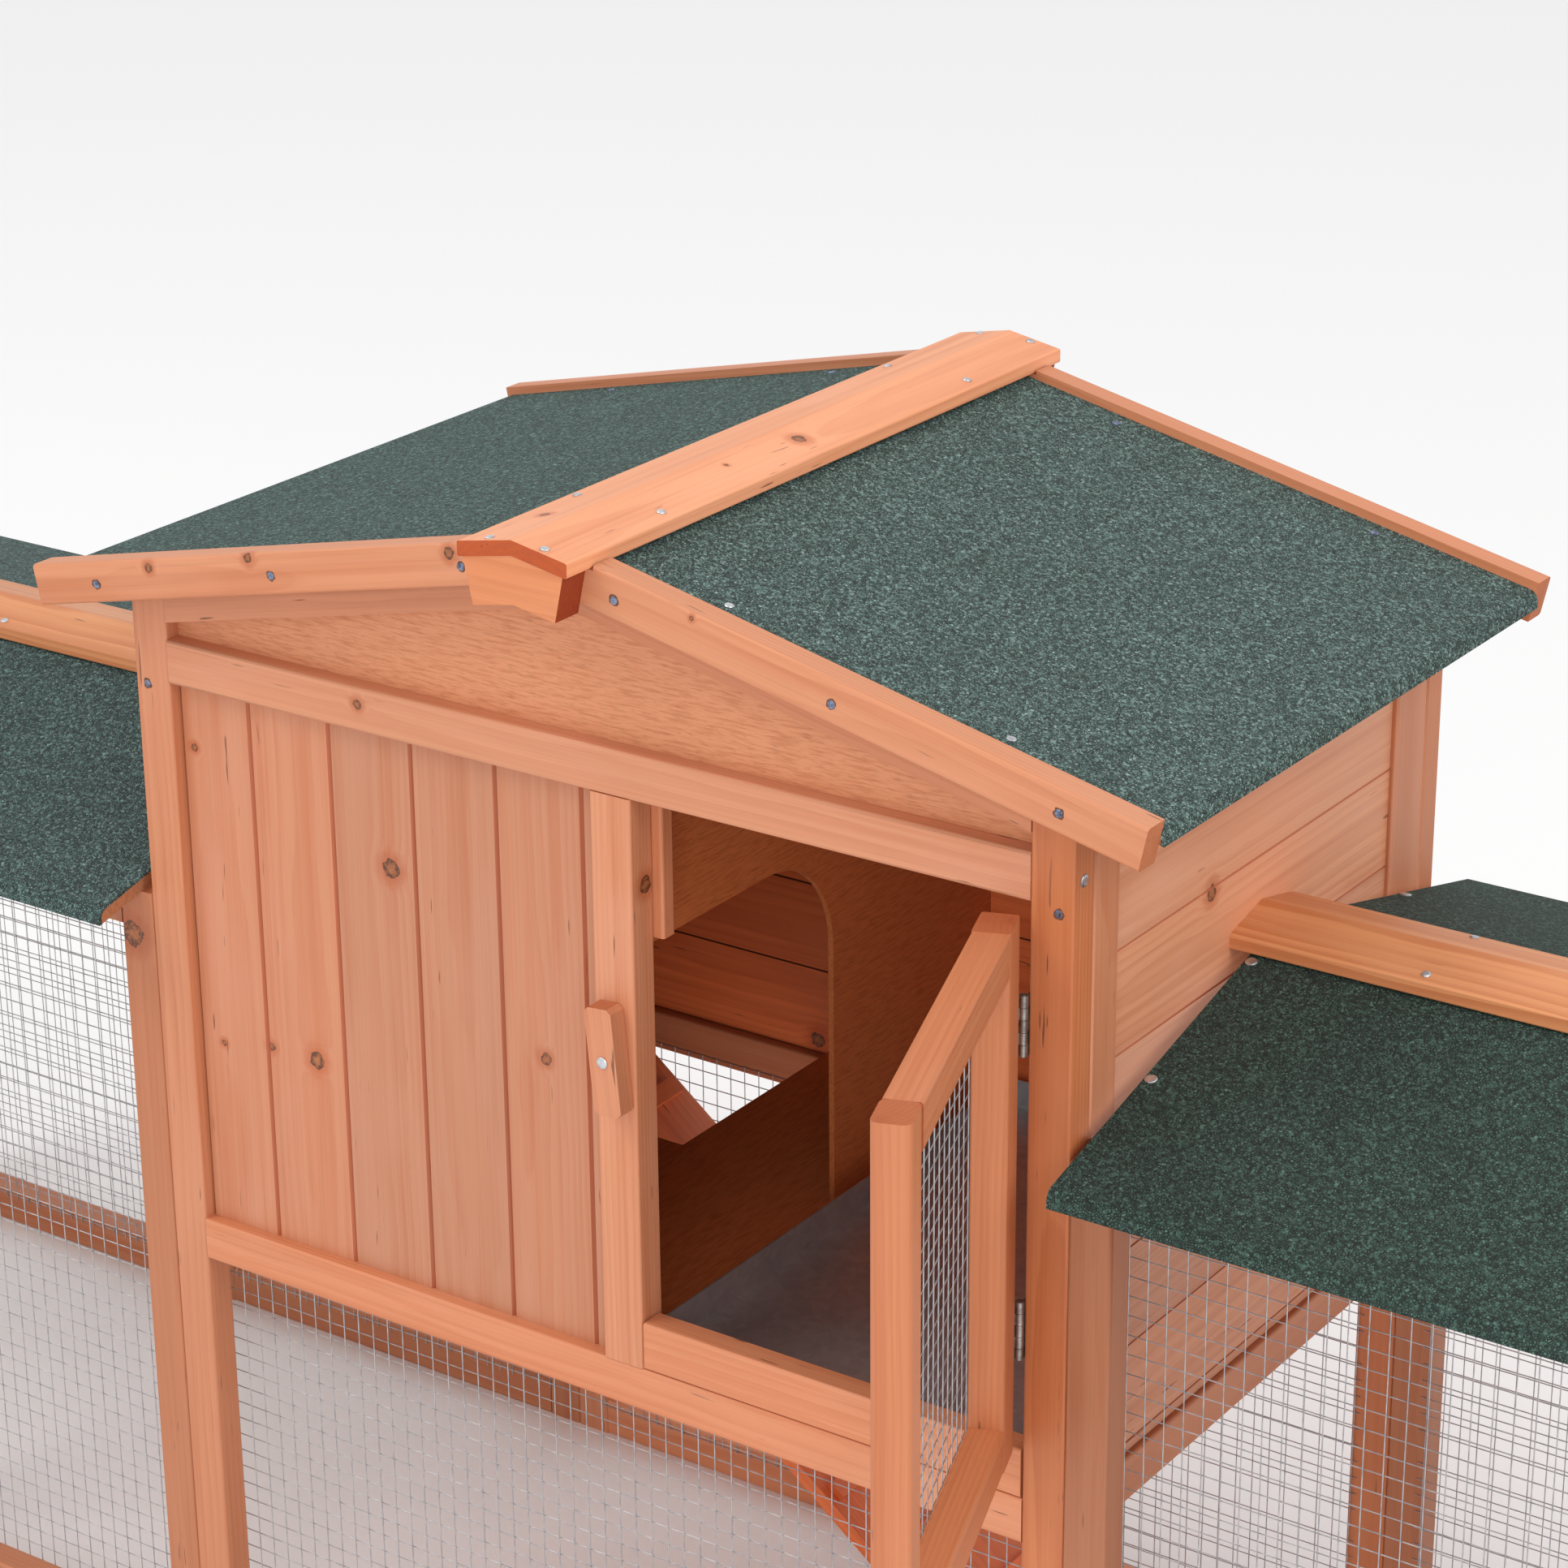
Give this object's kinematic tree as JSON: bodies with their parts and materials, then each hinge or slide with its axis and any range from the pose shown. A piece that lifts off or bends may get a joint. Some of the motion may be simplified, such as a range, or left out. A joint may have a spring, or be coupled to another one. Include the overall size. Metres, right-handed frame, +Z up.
{
  "type": "rabbit hutch",
  "caption": "Raised wooden rabbit house with a felted gable roof, plank walls and mesh door, between two low wire runs with felted roofs; doors, tray, ramp and turn buttons move.",
  "frame": {"origin": "on the ground under the middle of the house, halfway between its front and back faces, on the underside of the base bearer", "axes": "+X to the right along the two runs, seen from the front; +Y from the front to the back; +Z up"},
  "size_m": [2.3, 0.7676, 0.93],
  "materials": {
    "pine": "stained fir, satin",
    "plywood": "stained plywood, matt",
    "roof_felt": "green mineral felt, rough",
    "wire_mesh": "galvanised wire",
    "zinc_steel": "zinc plated",
    "tray_steel": "galvanised sheet, spangled"
  },
  "bodies": {
    "house": {"back_planks": "pine", "back_rails": "pine", "back_stile_left": "pine", "back_stile_right": "pine", "barge_boards_back": "pine", "barge_boards_front": "pine", "base_rails": "pine", "button_screws": "zinc_steel", "divider_panel": "plywood", "door_stop": "pine", "floor_left": "plywood", "floor_right": "plywood", "front_bottom_rail": "pine", "front_planks": "pine", "front_stile_left": "pine", "front_stile_right": "pine", "front_top_rail": "pine", "gable_panels": "plywood", "gable_rafters": "pine", "hinge_frame_leaves": "zinc_steel", "keystones": "pine", "lower_mesh": "wire_mesh", "mullion": "pine", "ramp_cleat": "pine", "ridge_cap": "pine", "roof_boards": "plywood", "roof_felt_left": "roof_felt", "roof_felt_right": "roof_felt", "roof_purlins": "pine", "run_barge_boards": "pine", "run_frame_left": "pine", "run_frame_right": "pine", "run_gables": "plywood", "run_mesh": "wire_mesh", "run_ridge_beams": "pine", "run_ridge_caps": "pine", "run_roof_boards": "plywood", "run_roof_felts_left": "roof_felt", "run_roof_felts_right": "roof_felt", "screws": "zinc_steel", "side_frame_left": "pine", "side_frame_right": "pine", "side_planks_left": "pine", "side_planks_right": "pine"},
    "door": {"door_frame": "pine", "door_mesh": "wire_mesh", "door_hinge_leaves": "zinc_steel"},
    "door_button": {"turn_button": "pine"},
    "tray": {"tray_pan": "tray_steel", "tray_front": "pine"},
    "ramp": {"ramp_board": "pine", "ramp_hinge_leaves": "zinc_steel"},
    "run_door_right": {"run_door_frame_right": "pine", "run_door_mesh_right": "wire_mesh", "run_door_leaves_right": "zinc_steel"},
    "run_door_left": {"run_door_frame_left": "pine", "run_door_mesh_left": "wire_mesh", "run_door_leaves_left": "zinc_steel"},
    "run_button_right": {"run_turn_button_right": "pine"},
    "run_button_left": {"run_turn_button_left": "pine"}
  },
  "joints": [
    {"name": "door_hinge", "type": "hinge", "parent": "house", "child": "door", "pos_m": [0.3197, -0.2317, 0.58], "axis": [0, 0, 1], "range_deg": [-110, 15]},
    {"name": "door_button_turn", "type": "hinge", "parent": "house", "child": "door_button", "pos_m": [0.0294, -0.2299, 0.5931], "axis": [0, 1, 0], "continuous": true},
    {"name": "tray_slide", "type": "slide", "parent": "house", "child": "tray", "axis": [0, -1, 0], "range_m": [0, 0.36]},
    {"name": "ramp_hinge", "type": "hinge", "parent": "house", "child": "ramp", "pos_m": [-0.303, 0, 0.3623], "axis": [0, -1, 0], "range_deg": [0, 38]},
    {"name": "run_door_hinge_right", "type": "hinge", "parent": "house", "child": "run_door_right", "pos_m": [1.1059, 0.2057, 0.3], "axis": [0, 0, 1], "range_deg": [0, 115]},
    {"name": "run_door_hinge_left", "type": "hinge", "parent": "house", "child": "run_door_left", "pos_m": [-1.1059, 0.2057, 0.3], "axis": [0, 0, -1], "range_deg": [0, 115]},
    {"name": "run_button_turn_right", "type": "hinge", "parent": "house", "child": "run_button_right", "pos_m": [1.1041, -0.2185, 0.30655], "axis": [1, 0, 0], "continuous": true},
    {"name": "run_button_turn_left", "type": "hinge", "parent": "house", "child": "run_button_left", "pos_m": [-1.1041, -0.2185, 0.30655], "axis": [1, 0, 0], "continuous": true}
  ]
}
